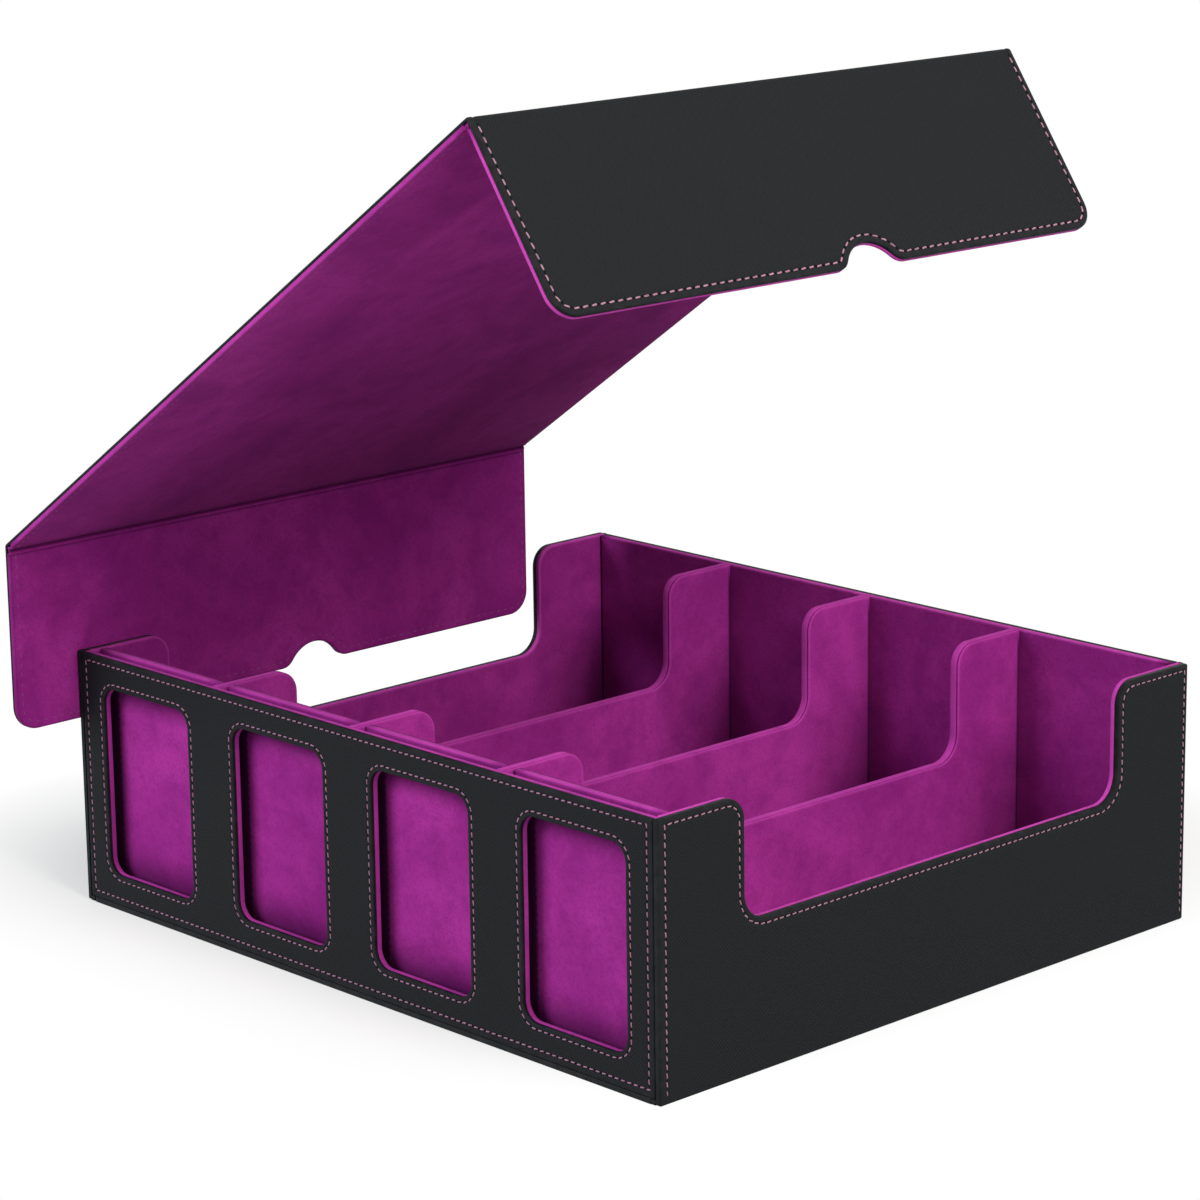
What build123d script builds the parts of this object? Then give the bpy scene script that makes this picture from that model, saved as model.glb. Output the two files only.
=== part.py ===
# Four-row trading card storage box with windows in the front and a lift-off, three-panel lid.
# Millimetres, +Z up. The origin is the middle of the underside of the box. +X runs along the
# windowed front to the right and +Y runs from the front to the back.
from build123d import *
from math import cos, radians, sin
import os

os.makedirs("parts", exist_ok=True)

# Box, outside
box_width = 340.0
box_depth = 295.0
box_height = 107.0

# Layers: boards wrapped in leather outside and in suede inside
skin = 0.8
wall_thick = 4.6
wall_turn = 2.4  # leather covers this much of a wall's rim, and suede covers the rest
base_thick = 2.4
foot_gap = 0.3  # the box stands on its base, and the walls end this far above it
edge_round = 0.6
round_limit_share = 0.9  # of the layer that a rounded edge is on

# Hand scoop in the top edge of the side walls and dividers
front_tower = 43.5
back_tower = 42.5
scoop_depth = 48.0
scoop_top_round = 9.0
scoop_floor_round = 11.0

# Card rows
row_count = 4
divider_thick = 4.6

# Windowed front, with a card slot behind each window
fascia_thick = 3.8
fascia_turn = 1.5
fascia_end_gap = 0.3
window_side = 12.1  # from the side of a row to the side of its window
window_sill = 15.3
window_head = 12.7
window_round = 7.0
slot_depth = 4.4
panel_thick = 3.4

# Lid
lid_short = 15.0  # the lid is shallower than the box by this much
lid_thick = 3.2
lid_turn = 1.3  # leather covers this much of the lid's rim, and suede covers the rest
lid_side_gap = 0.4
lid_top_gap = 0.3
flap_lap = 27.0  # a shut flap reaches this far below the scoop
flap_round = 10.0
notch_round = 15.0
notch_depth = 9.0
notch_shoulder_round = 7.0
notch_back = 16.0  # the thumb notch lies this far behind the middle of its flap
crease_gap = 0.3
crease_reach = 2.3  # a panel's board starts this far from its fold

# Magnets hidden in the flaps and in the side walls, which meet when the lid is shut
magnet_diameter = 10.0
magnet_fit = 0.1
magnet_spread = 43.0
magnet_drop = 13.0  # below the scoop

# Lid as it stands at rest: drawn up and forward on the left wall, and open
lid_up = 46.0
lid_forward = 38.0
lid_tilt = 34.4

# Cuts run past the faces that they open by this much
overrun = 1.0

# Worked-out places
half_width = box_width / 2
half_depth = box_depth / 2
fascia_back = fascia_thick - half_depth
wall_inside = half_width - wall_thick
back_inside = half_depth - wall_thick
floor_top = base_thick + skin
row_width = (2 * wall_inside - (row_count - 1) * divider_thick) / row_count
row_pitch = row_width + divider_thick
row_middles = [(row - (row_count - 1) / 2) * row_pitch for row in range(row_count)]
divider_middles = [middle + row_pitch / 2 for middle in row_middles[:-1]]
scoop_floor = box_height - scoop_depth

lid_depth = box_depth - lid_short
fold_to_fold = box_width + 2 * lid_side_gap + lid_thick
fold_when_shut = box_height + lid_top_gap + lid_thick / 2
flap_reach = fold_when_shut - (scoop_floor - flap_lap)
crease_start = lid_thick / 2 + crease_gap
web = 2 * skin  # leather and lining, pressed together at a fold
magnet_thick = lid_thick - 2 * skin
magnet_height = scoop_floor - magnet_drop
magnet_reach = fold_when_shut - magnet_height

tilt = radians(lid_tilt)
top_way = Vector(cos(tilt), 0, sin(tilt))
top_inwards = Vector(sin(tilt), 0, -cos(tilt))
left_fold = Vector(-fold_to_fold / 2, -lid_forward, fold_when_shut + lid_up)
right_fold = left_fold + top_way * fold_to_fold


def keep(piece, name):
    """Label a finished piece and write it to its own file."""
    piece.part.label = name
    export_step(piece.part, f"parts/{name}.step")


def mirrored(piece):
    """The same piece on the other side of the box."""
    with BuildPart() as twin:
        mirror(piece.part, about=Plane.YZ)
    return twin


def face_edges(builder, plane, which):
    """Edges of the first (0) or last (-1) flat face along a plane's normal."""
    faces = builder.faces().filter_by(plane).sort_by(Axis(plane.origin, plane.z_dir))
    return faces[which].edges()


def rounding(layer):
    """Radius of a rounded edge on a layer of this thickness."""
    return min(edge_round, round_limit_share * layer)


def block(low, high, mode=Mode.ADD):
    """Rectangle between two corners of the current sketch."""
    with Locations(((low[0] + high[0]) / 2, (low[1] + high[1]) / 2)):
        Rectangle(high[0] - low[0], high[1] - low[1], mode=mode)


def scooped_outline(front, back, foot, inset=0):
    """Upright panel, drawn in (Y, Z), whose top edge dips in a round-cornered hand scoop.

    The inset draws the rim back, as for the board under a skin.
    """
    top = box_height - inset
    scoop_low = (front_tower - half_depth - inset, scoop_floor - inset)
    scoop_high = (half_depth - back_tower + inset, top + overrun)
    with BuildSketch(mode=Mode.PRIVATE) as outline:
        block((front, foot), (back, top))
        block(scoop_low, scoop_high, Mode.SUBTRACT)
        rim = outline.vertices().group_by(Axis.Y)[-1].sort_by(Axis.X)
        fillet(rim[1:3], scoop_top_round - inset)
        fillet(outline.vertices().group_by(Axis.Y)[1], scoop_floor_round + inset)
    add(outline.sketch)


def windowed_outline(inset=0):
    """Front panel, drawn in (X, Z), with one round-cornered window for each row."""
    half = half_width - wall_turn - fascia_end_gap - inset
    block((-half, base_thick + inset), (half, box_height - inset))
    width = row_width - 2 * window_side
    height = box_height - window_head - window_sill
    for middle in row_middles:
        with Locations((middle, window_sill + height / 2)):
            RectangleRounded(
                width + 2 * inset,
                height + 2 * inset,
                window_round + inset,
                mode=Mode.SUBTRACT,
            )


def flap_outline(start, notch_middle, inset=0):
    """Lid flap, drawn from its fold outwards in X, with a thumb notch in its free edge."""
    end = flap_reach - inset
    half = lid_depth / 2 - inset
    with BuildSketch(mode=Mode.PRIVATE) as outline:
        block((start, -half), (end, half))
        fillet(outline.vertices().group_by(Axis.X)[-1], flap_round - inset)
        with Locations((flap_reach - notch_depth + notch_round, notch_middle)):
            Circle(notch_round + inset, mode=Mode.SUBTRACT)
        shoulders = outline.vertices().group_by(Axis.X)[-1].sort_by(Axis.Y)[1:3]
        fillet(shoulders, notch_shoulder_round - inset)
    add(outline.sketch)


def laminate(name, plane, thick, turn, cover_face, board_face, lining_face, relief=None, magnets=()):
    """Board between a leather cover and a suede lining, which meet on the rim.

    The plane lies on the leather face with its normal pointing inwards. Each face argument
    draws one layer's outline. A relief is an outline and the depth from which it is cut away.
    Magnets are places of discs let into the leather side of the board.
    """
    with BuildPart() as board:
        with BuildSketch(plane.offset(skin)):
            board_face()
        extrude(amount=thick - 2 * skin)
        if relief:
            with BuildSketch(plane.offset(relief[1])):
                relief[0]()
            extrude(amount=thick, mode=Mode.SUBTRACT)
        if magnets:
            with BuildSketch(plane.offset(skin)):
                with Locations(*magnets):
                    Circle(magnet_diameter / 2 + magnet_fit)
            extrude(amount=magnet_thick, mode=Mode.SUBTRACT)

    with BuildPart() as lining:
        with BuildSketch(plane.offset(turn)):
            lining_face()
        extrude(amount=thick - turn)
        fillet(face_edges(lining, plane, -1), rounding(thick - turn))
        with BuildSketch(plane.offset(skin)):
            board_face()
        extrude(amount=thick - 2 * skin, mode=Mode.SUBTRACT)

    with BuildPart() as cover:
        with BuildSketch(plane):
            cover_face()
        extrude(amount=thick)
        fillet(face_edges(cover, plane, 0), rounding(turn))
        with BuildSketch(plane.offset(turn)):
            lining_face()
        extrude(amount=thick, mode=Mode.SUBTRACT)
        if relief:
            with BuildSketch(plane.offset(relief[1])):
                relief[0]()
            extrude(amount=thick, mode=Mode.SUBTRACT)
        with BuildSketch(plane.offset(skin)):
            board_face()
        extrude(amount=thick - 2 * skin, mode=Mode.SUBTRACT)

    layers = {f"{name}_cover": cover, f"{name}_board": board, f"{name}_lining": lining}
    if magnets:
        with BuildPart() as discs:
            with BuildSketch(plane.offset(skin)):
                with Locations(*magnets):
                    Circle(magnet_diameter / 2)
            extrude(amount=magnet_thick)
        layers[f"{name}_magnets"] = discs
    return layers


def sleeved(name, plane, thick, sleeve_face, board_face):
    """Board in a suede sleeve that covers both of its faces and its rim."""
    with BuildPart() as board:
        with BuildSketch(plane.offset(skin)):
            board_face()
        extrude(amount=thick - 2 * skin)
    with BuildPart() as sleeve:
        with BuildSketch(plane):
            sleeve_face()
        extrude(amount=thick)
        for side in (0, -1):
            rim = face_edges(sleeve, plane, side).filter_by(upper_edge)
            fillet(rim, rounding(thick / 2))
        add(board.part, mode=Mode.SUBTRACT)
    return {f"{name}_sleeve": sleeve, f"{name}_board": board}


def upper_edge(edge):
    """True of the edges of an upright panel's rim, and false of its foot and its ends."""
    return edge.bounding_box().min.Z > (floor_top + scoop_floor) / 2


# Base: a leather-covered board, with one sheet of suede over it
with BuildPart() as base_board:
    with BuildSketch(Plane.XY.offset(skin)):
        block((skin - wall_inside, skin - half_depth), (wall_inside - skin, back_inside - skin))
    extrude(amount=base_thick - skin)

with BuildPart() as base_cover:
    with BuildSketch(Plane.XY):
        block((-wall_inside, -half_depth), (wall_inside, back_inside))
    extrude(amount=base_thick)
    add(base_board.part, mode=Mode.SUBTRACT)

with BuildPart() as floor_lining:
    with BuildSketch(Plane.XY.offset(base_thick)):
        block((-wall_inside, fascia_back), (wall_inside, back_inside))
    extrude(amount=skin)

keep(base_board, "base_board")
keep(base_cover, "base_cover")
keep(floor_lining, "floor_lining")

# Side walls: full depth, scooped, and rebated at the front for the windowed panel
left_wall = laminate(
    "left_wall",
    Plane.YZ.offset(-half_width),
    wall_thick,
    wall_turn,
    cover_face=lambda: scooped_outline(-half_depth, half_depth, foot_gap),
    board_face=lambda: scooped_outline(skin - half_depth, half_depth - skin, foot_gap + skin, skin),
    lining_face=lambda: scooped_outline(fascia_back, half_depth - skin, base_thick),
    relief=(
        lambda: block((-half_depth - overrun, base_thick), (fascia_back, box_height + overrun)),
        wall_turn,
    ),
    magnets=[(-magnet_spread, magnet_height), (magnet_spread, magnet_height)],
)
for name, piece in left_wall.items():
    keep(piece, name)
    keep(mirrored(piece), name.replace("left", "right"))

# Back wall, between the side walls
back_wall = laminate(
    "back_wall",
    Plane((0, half_depth, 0), x_dir=(1, 0, 0), z_dir=(0, -1, 0)),
    wall_thick,
    wall_turn,
    cover_face=lambda: block((-wall_inside, foot_gap), (wall_inside, box_height)),
    board_face=lambda: block(
        (skin - wall_inside, foot_gap + skin),
        (wall_inside - skin, box_height - skin),
    ),
    lining_face=lambda: block((-wall_inside, base_thick), (wall_inside, box_height)),
)
for name, piece in back_wall.items():
    keep(piece, name)

# Windowed front panel, in the rebates of the side walls and on the front edge of the base
fascia = laminate(
    "front_fascia",
    Plane((0, -half_depth, 0), x_dir=(-1, 0, 0), z_dir=(0, 1, 0)),
    fascia_thick,
    fascia_turn,
    cover_face=windowed_outline,
    board_face=lambda: windowed_outline(skin),
    lining_face=windowed_outline,
)
for name, piece in fascia.items():
    keep(piece, name)

# Dividers between the rows, which run through to the back of the windowed panel
for number, middle in enumerate(divider_middles, start=1):
    divider = sleeved(
        f"divider_{number}",
        Plane.YZ.offset(middle - divider_thick / 2),
        divider_thick,
        sleeve_face=lambda: scooped_outline(fascia_back, back_inside, floor_top),
        board_face=lambda: scooped_outline(fascia_back, back_inside, floor_top, skin),
    )
    for name, piece in divider.items():
        keep(piece, name)

# Upright panel at the front of each row, with the card slot between it and the windowed panel
for number, middle in enumerate(row_middles, start=1):
    low = (middle - row_width / 2, floor_top)
    high = (middle + row_width / 2, box_height)
    row_front = sleeved(
        f"row_{number}_front",
        Plane((0, fascia_back + slot_depth + panel_thick, 0), x_dir=(1, 0, 0), z_dir=(0, -1, 0)),
        panel_thick,
        sleeve_face=lambda: block(low, high),
        board_face=lambda: block(low, (high[0], box_height - skin)),
    )
    for name, piece in row_front.items():
        keep(piece, name)


def lid_plane(fold, way, inwards):
    """Plane on a lid panel's leather face, with X running away from the fold."""
    return Plane(fold - inwards * (lid_thick / 2), x_dir=way, z_dir=inwards)


def top_outline(start, inset=0):
    """Top panel of the lid, drawn from the left fold to the right one."""
    half = lid_depth / 2 - inset
    block((start, -half), (fold_to_fold - start, half))


def top_creases():
    """Both folds of the top panel, where its inner side is thinned to a web."""
    half = lid_depth / 2 + overrun
    block((0, -half), (crease_reach, half))
    block((fold_to_fold - crease_reach, -half), (fold_to_fold, half))


def flap_crease():
    """The fold of a flap, where its inner side is thinned to a web."""
    half = lid_depth / 2 + overrun
    block((0, -half), (crease_reach, half))


def lid_flap(name, plane, notch_middle):
    """Flap of the lid, with its two magnets."""
    return laminate(
        name,
        plane,
        lid_thick,
        lid_turn,
        cover_face=lambda: flap_outline(crease_start, notch_middle),
        board_face=lambda: flap_outline(crease_reach, notch_middle, skin),
        lining_face=lambda: flap_outline(crease_reach, notch_middle),
        relief=(flap_crease, web),
        magnets=[(magnet_reach, -magnet_spread), (magnet_reach, magnet_spread)],
    )


def fold_strip(fold):
    """Round strip of leather on a fold's axis."""
    with BuildPart() as strip:
        with BuildSketch(Plane(fold, x_dir=(1, 0, 0), z_dir=(0, 1, 0))):
            Circle(lid_thick / 2)
        extrude(amount=lid_depth / 2, both=True)
    return strip


# Lid: a left flap, a top panel and a right flap, hung on each other at two folds
left_flap = lid_flap("left_flap", lid_plane(left_fold, Vector(0, 0, -1), Vector(1, 0, 0)), notch_back)
for name, piece in left_flap.items():
    keep(piece, name)

lid_top = laminate(
    "lid_top",
    lid_plane(left_fold, top_way, top_inwards),
    lid_thick,
    lid_turn,
    cover_face=lambda: top_outline(crease_start),
    board_face=lambda: top_outline(crease_reach, skin),
    lining_face=lambda: top_outline(crease_reach),
    relief=(top_creases, web),
)
for name, piece in lid_top.items():
    keep(piece, name)

right_flap = lid_flap("right_flap", lid_plane(right_fold, top_inwards, -top_way), -notch_back)
for name, piece in right_flap.items():
    keep(piece, name)

keep(fold_strip(left_fold), "left_fold_strip")
keep(fold_strip(right_fold), "right_fold_strip")
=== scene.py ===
from math import atan2, ceil, cos, degrees, dist, hypot, pi, radians, sin, sqrt

import bmesh
import bpy
import numpy as np
from mathutils import Matrix, Vector, noise
from mathutils.geometry import delaunay_2d_cdt


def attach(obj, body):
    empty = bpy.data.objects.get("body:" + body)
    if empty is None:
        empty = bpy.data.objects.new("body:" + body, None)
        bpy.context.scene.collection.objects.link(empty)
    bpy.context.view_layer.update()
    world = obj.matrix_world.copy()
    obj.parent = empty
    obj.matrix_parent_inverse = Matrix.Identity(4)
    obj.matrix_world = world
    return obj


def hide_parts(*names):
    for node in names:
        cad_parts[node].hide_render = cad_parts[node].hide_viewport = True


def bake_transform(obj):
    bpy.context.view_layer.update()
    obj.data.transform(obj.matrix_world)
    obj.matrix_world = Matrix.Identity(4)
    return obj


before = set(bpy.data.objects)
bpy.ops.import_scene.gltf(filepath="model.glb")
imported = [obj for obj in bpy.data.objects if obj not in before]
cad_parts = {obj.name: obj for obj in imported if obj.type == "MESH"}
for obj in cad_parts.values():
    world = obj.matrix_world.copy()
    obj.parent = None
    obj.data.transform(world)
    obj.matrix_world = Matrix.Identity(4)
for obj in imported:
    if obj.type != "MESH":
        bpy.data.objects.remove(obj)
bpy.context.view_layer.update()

MM = 0.001
scene = bpy.context.scene

# Box and lid, as in the part's source
box_width, box_depth, box_height = 340.0, 295.0, 107.0
skin = 0.8
wall_thick, wall_turn = 4.6, 2.4
base_thick, foot_gap = 2.4, 0.3
front_tower, back_tower, scoop_depth = 43.5, 42.5, 48.0
scoop_top_round, scoop_floor_round = 9.0, 11.0
row_count, divider_thick = 4, 4.6
fascia_thick, fascia_turn, fascia_end_gap = 3.8, 1.5, 0.3
window_side, window_sill, window_head, window_round = 12.1, 15.3, 12.7, 7.0
slot_depth, panel_thick = 4.4, 3.4
lid_depth, lid_thick, lid_turn = 280.0, 3.2, 1.3
lid_side_gap, lid_top_gap, flap_lap = 0.4, 0.3, 27.0
flap_round, notch_round, notch_depth, notch_shoulder_round, notch_back = 10.0, 15.0, 9.0, 7.0, 16.0
crease_gap, crease_reach = 0.3, 2.3
lid_up, lid_forward, lid_tilt = 46.0, 38.0, 34.4

# Edges, seams and pressed grooves
edge_round, edge_steps, edge_round_share = 0.6, 5, 0.9  # the share is that of a narrow rim, at most
corner_round, sharpest = 0.9, 0.03
seam_chamfer, least_rim = 0.18, 0.05
joint_shade_reach, joint_shade_fade = 1.0, 0.7  # painted shade: a hidden edge, where it meets another part, is dark this far in, and then as far as the fade less so
fascia_share, window_share = 1.15, 0.85  # of an inset, at the front panel's rim and at its windows
wall_front_share, wall_back_share, lid_front_share, lid_back_share = 1.4, 0.7, 1.0, 0.85  # at the ends
plain_groove = 0.5  # suede is neither paler nor darker at a fold and at a row's sides
groove_depth, groove_half, groove_reach, groove_past = 0.22, 0.5, 1.0, 2.6
groove_flank_share = 0.45
edge_bulge, bulge_start = 0.07, 1.0

# Edge shares of rims and faces: on leather a paler rim is wear, on suede it is worn nap and a painted sheen
# highlight
seam_edge, rim_edge, rim_edge_fade = -0.5, 0.9, 0.3
worn_edges = (0.5, 0.35, 0.2, 0.1, 0.1, 0.05, 0)  # from the rim over the stitches to the face
plain_face = ((0.9, 0.25), (1.4, 0), (1.8, 0), (4.0, 0))  # (inset, edge share) where nothing is sewn
wall_pale, fascia_pale = 0.55, 0.3  # share of the paler rim, worn nap with a painted sheen highlight, that a lining has
# For each lid panel the rim's painted highlight is set by how light falls on it; below zero it is a painted
# shade.
left_flap_pale, lid_top_pale, right_flap_pale = -0.4, 0.25, 0.65
sleeve_face, sleeve_rim_edge = ((0.9, 0.1), (1.4, 0), (1.8, 0), (4.0, 0)), 0.35
sleeve_seam_in = 0.8  # the seam on a sleeve's rim lies this far from its far face
sleeve_seam = ((0, -0.3, 0.35), (0.15, -0.1, -1.0), (0.2, 0.1, -1.0))  # (inset, depth past it, edge share)
sleeve_far_edges = (-0.4, 0, 0.3, 0.3, 0.2, 0.2)

# Painted shade on the row fronts, behind the windows
hide_from, hide_to = -0.4, 1.2  # it starts and ends this far past a window's outline
hide_shade = 1.15
sill_shade, sill_reach, sill_drop = 0.80, 15.0, 4.0  # from this far above a sill to this far below it
head_shade, head_reach = 0.95, 13.0

# Sewing
lid_stitch_inset, lid_stitch_pitch, box_thread_radius = 3.0, 4.1, 0.31
box_sewing = (2.6, 3.3, box_thread_radius)  # (inset, pitch, radius of the thread)
lid_sewing = (lid_stitch_inset, lid_stitch_pitch, 0.44)
lining_thread_depth = 0.24
hole_depth, hole_crown, hole_share = 0.1, 0.02, 1.25  # the share is that of the thread's radius
stitch_share, stitch_slant = 0.74, 7.0
stitch_stations, stitch_sides = 9, 8
slant_sway, length_sway, sway_pitch, sway_row = 4.0, 0.08, 0.37, 1.7  # no two stitches are alike
thin_share, thin_power, sink_share, sink_power = 0.85, 8, 1.1, 4  # towards a stitch's ends
thread_shift = 7.3  # on the thread's map, from one stitch to the next

# Folds
bend_shares, bend_steps = (1.0, 0.62, 0.3, 0.1), 10
crease_lap, crease_dip, crease_root = 0.7, 0.5, 0.2  # over the linings' ends, in the middle, past the axis
crease_tuck, crease_lift = 0.05, 0.03
# The crease's flanks and bottom take a painted shade in the fold.
crease_flank_share, crease_flank_shade = 0.5, -0.8
crease_ends = ((0.25, 0.8), (0.5, 1.0))  # (distance from the lid's end, share of the section)

# Steps and waves of the meshes
run_step, fill_step, tone_step, hidden_step = 7.0, 9.0, 1.6, 40.0
arc_step, sharp_angle = 9.0, 48.0
border_share = 0.55  # of a grid's step, left free along its border
wave_length, wave_seed, leather_wave, suede_wave = 38.0, 9.3, 0.1, 0.12
tiny, merged = 1e-9, 1e-6

# Colours, the darker first where there are two, and weaves
leather_colours = ((0.0030, 0.0037, 0.0045, 1), (0.0048, 0.0057, 0.0068, 1))
leather_ridge, leather_worn = (0.0165, 0.0188, 0.0212, 1), (0.030, 0.031, 0.034, 1)
leather_weave = ((52, 0.00078, 0.62), (-38, 0.00105, 0.38))  # (turn in degrees, period in metres, share)
suede_colours = ((0.235, 0.0150, 0.185, 1), (0.335, 0.0270, 0.252, 1))
suede_mottle, suede_fibre = (0.165, 0.0085, 0.135, 1), (0.115, 0.0050, 0.096, 1)
# The paler rim colour is worn nap and a painted sheen highlight.
suede_rim_wear_and_sheen, suede_seam_and_shade = (0.60, 0.085, 0.46, 1), (0.028, 0.0015, 0.026, 1)
suede_sheen = (1.0, 0.42, 0.86, 1)
# Lid, box and front are one thread: lightest on the lid, with painted shade on the box's walls and a darker,
# purpler painted shade on the front panel. The lining thread is a darker purple.
thread_colours = {
    "lid": ((0.23, 0.092, 0.155, 1), (0.40, 0.185, 0.27, 1)),
    "box": ((0.20, 0.082, 0.135, 1), (0.34, 0.158, 0.228, 1)),
    "front": ((0.19, 0.062, 0.140, 1), (0.32, 0.125, 0.235, 1)),
    "lining": ((0.13, 0.016, 0.105, 1), (0.22, 0.036, 0.180, 1)),
}
ply_shade, ply_turn, ply_period = 0.45, 38, 0.00055
board_colours = ((0.30, 0.28, 0.25, 1), (0.44, 0.42, 0.38, 1))
magnet_colours = ((0.50, 0.50, 0.52, 1), (0.66, 0.66, 0.68, 1))
hole_shade_colours = ((0.002, 0.002, 0.002, 1), (0.007, 0.006, 0.007, 1))
white, floor_colour, bounce_colour = (1, 1, 1, 1), (0.70, 0.70, 0.70, 1), (0.5, 0.5, 0.5, 1)

# Floor, light and camera, in metres
floor_half = 6.0
shadow_right, shadow_front = 0.02, -0.05  # the shadow's core ends here, and at the box's left and back
fade_from, fade_to = 0.04, 0.16  # the floor turns white over this distance from the core
floor_glow, studio_light = 0.02, 0.28
middle_of_box = (0, 0, 0.12)
camera_place = Vector((1.13383, -1.08180, 0.52036))
camera_turn, camera_rise, camera_roll = radians(46.7015), radians(13.9626), radians(-0.77937)

# Worked-out places
half_width, half_depth = box_width / 2, box_depth / 2
fascia_back = fascia_thick - half_depth
wall_inside, back_inside = half_width - wall_thick, half_depth - wall_thick
floor_top = base_thick + skin
row_width = (2 * wall_inside - (row_count - 1) * divider_thick) / row_count
row_pitch = row_width + divider_thick
row_middles = [(row - (row_count - 1) / 2) * row_pitch for row in range(row_count)]
divider_middles = [middle + row_pitch / 2 for middle in row_middles[:-1]]
scoop_floor = box_height - scoop_depth
fold_to_fold = box_width + 2 * lid_side_gap + lid_thick
fold_when_shut = box_height + lid_top_gap + lid_thick / 2
flap_reach = fold_when_shut - (scoop_floor - flap_lap)
crease_start = lid_thick / 2 + crease_gap
tilt = radians(lid_tilt)
top_way = Vector((cos(tilt), 0, sin(tilt)))
top_inwards = Vector((sin(tilt), 0, -cos(tilt)))
left_fold = Vector((-fold_to_fold / 2, -lid_forward, fold_when_shut + lid_up))
right_fold = left_fold + top_way * fold_to_fold
DOWN, RIGHT, BACK, UP = Vector((0, 0, -1)), Vector((1, 0, 0)), Vector((0, 1, 0)), Vector((0, 0, 1))


# Materials
def feed(tree, node, inputs):
    """A socket among the inputs is linked to the node, and any other value is set on it."""
    for key, value in inputs.items():
        if isinstance(value, bpy.types.NodeSocket):
            tree.links.new(value, node.inputs[key])
        else:
            node.inputs[key].default_value = value


def add(tree, kind, inputs=None, **settings):
    """New shader node with its settings and inputs."""
    made = tree.nodes.new(kind)
    for key, value in settings.items():
        setattr(made, key, value)
    feed(tree, made, inputs or {})
    return made


def blank(name):
    """New material, its node tree and its surface shader."""
    material = bpy.data.materials.new(name)
    material.use_nodes = True
    return material, material.node_tree, material.node_tree.nodes["Principled BSDF"]


def in_space(tree):
    """Place in the object's own space, in metres."""
    return add(tree, "ShaderNodeTexCoord").outputs["Object"]


def on_panel(tree):
    """Place on the flat map, in metres."""
    return add(tree, "ShaderNodeUVMap", uv_map="panel").outputs["UV"]


def edge_share(tree):
    return add(tree, "ShaderNodeAttribute", attribute_name="edge").outputs["Fac"]


def mixed(tree, factor, first, second):
    """Colour between two colours."""
    return add(tree, "ShaderNodeMix", {0: factor, 6: first, 7: second}, data_type="RGBA").outputs[2]


def spread(tree, value, source, target=(0.0, 1.0)):
    """A value stretched from one range to another and held inside it."""
    keys = ("Value", "From Min", "From Max", "To Min", "To Max")
    inputs = dict(zip(keys, (value, *source, *target)))
    return add(tree, "ShaderNodeMapRange", inputs).outputs["Result"]


def sums(tree, operation, first, second):
    return add(tree, "ShaderNodeMath", {0: first, 1: second}, operation=operation).outputs[0]


def speckle(tree, place, scale, detail=2.0, rough=0.5, stretch=0.0):
    """Noise with so many specks to the metre."""
    inputs = {"Vector": place, "Scale": scale, "Detail": detail, "Roughness": rough, "Distortion": stretch}
    return add(tree, "ShaderNodeTexNoise", inputs).outputs["Fac"]


def stripes(tree, place, turn, period, inputs):
    """Stripes that repeat after a period in metres, turned by an angle in degrees."""
    turned = add(tree, "ShaderNodeMapping", {"Vector": place, "Rotation": (0, 0, radians(turn))}).outputs[0]
    inputs = {"Vector": turned, "Scale": 0.1 * pi / period, **inputs}
    return add(tree, "ShaderNodeTexWave", inputs).outputs["Fac"]


def relief(tree, height, strength, distance):
    """Normal of a surface with a small height, up to the distance in metres."""
    inputs = {"Height": height, "Strength": strength, "Distance": distance}
    return add(tree, "ShaderNodeBump", inputs).outputs[0]


def leather_material():
    """Black cross-grain leather, a little worn along the edges."""
    material, tree, shader = blank("leather")
    solid, flat = in_space(tree), on_panel(tree)
    uneven = {"Distortion": 2.2, "Detail": 2.0, "Detail Scale": 0.8}
    weft, warp = (
        sums(tree, "MULTIPLY", stripes(tree, flat, turn, period, uneven), share)
        for turn, period, share in leather_weave
    )
    grain = sums(tree, "ADD", weft, warp)
    fine = speckle(tree, solid, scale=5200.0, detail=1.0)
    grain = sums(tree, "ADD", grain, sums(tree, "MULTIPLY", fine, 0.35))
    cloud = speckle(tree, solid, scale=26.0, detail=3.0)
    colour = mixed(tree, spread(tree, cloud, (0.3, 0.7)), *leather_colours)
    colour = mixed(tree, spread(tree, grain, (0.35, 1.1), (0, 0.6)), colour, leather_ridge)
    patches = spread(tree, speckle(tree, solid, scale=240.0, detail=3.0), (0.40, 0.75), (0.0, 0.40))
    worn = sums(tree, "MULTIPLY", sums(tree, "MAXIMUM", edge_share(tree), 0.0), patches)
    cloudy = spread(tree, cloud, (0.3, 0.7), (0.50, 0.60))
    feed(tree, shader, {
        "Base Color": mixed(tree, worn, colour, leather_worn),
        "Roughness": sums(tree, "ADD", cloudy, sums(tree, "MULTIPLY", grain, -0.08)),
        "Normal": relief(tree, grain, strength=0.9, distance=0.0002),
        "Specular IOR Level": 0.06,
    })
    return material


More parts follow.
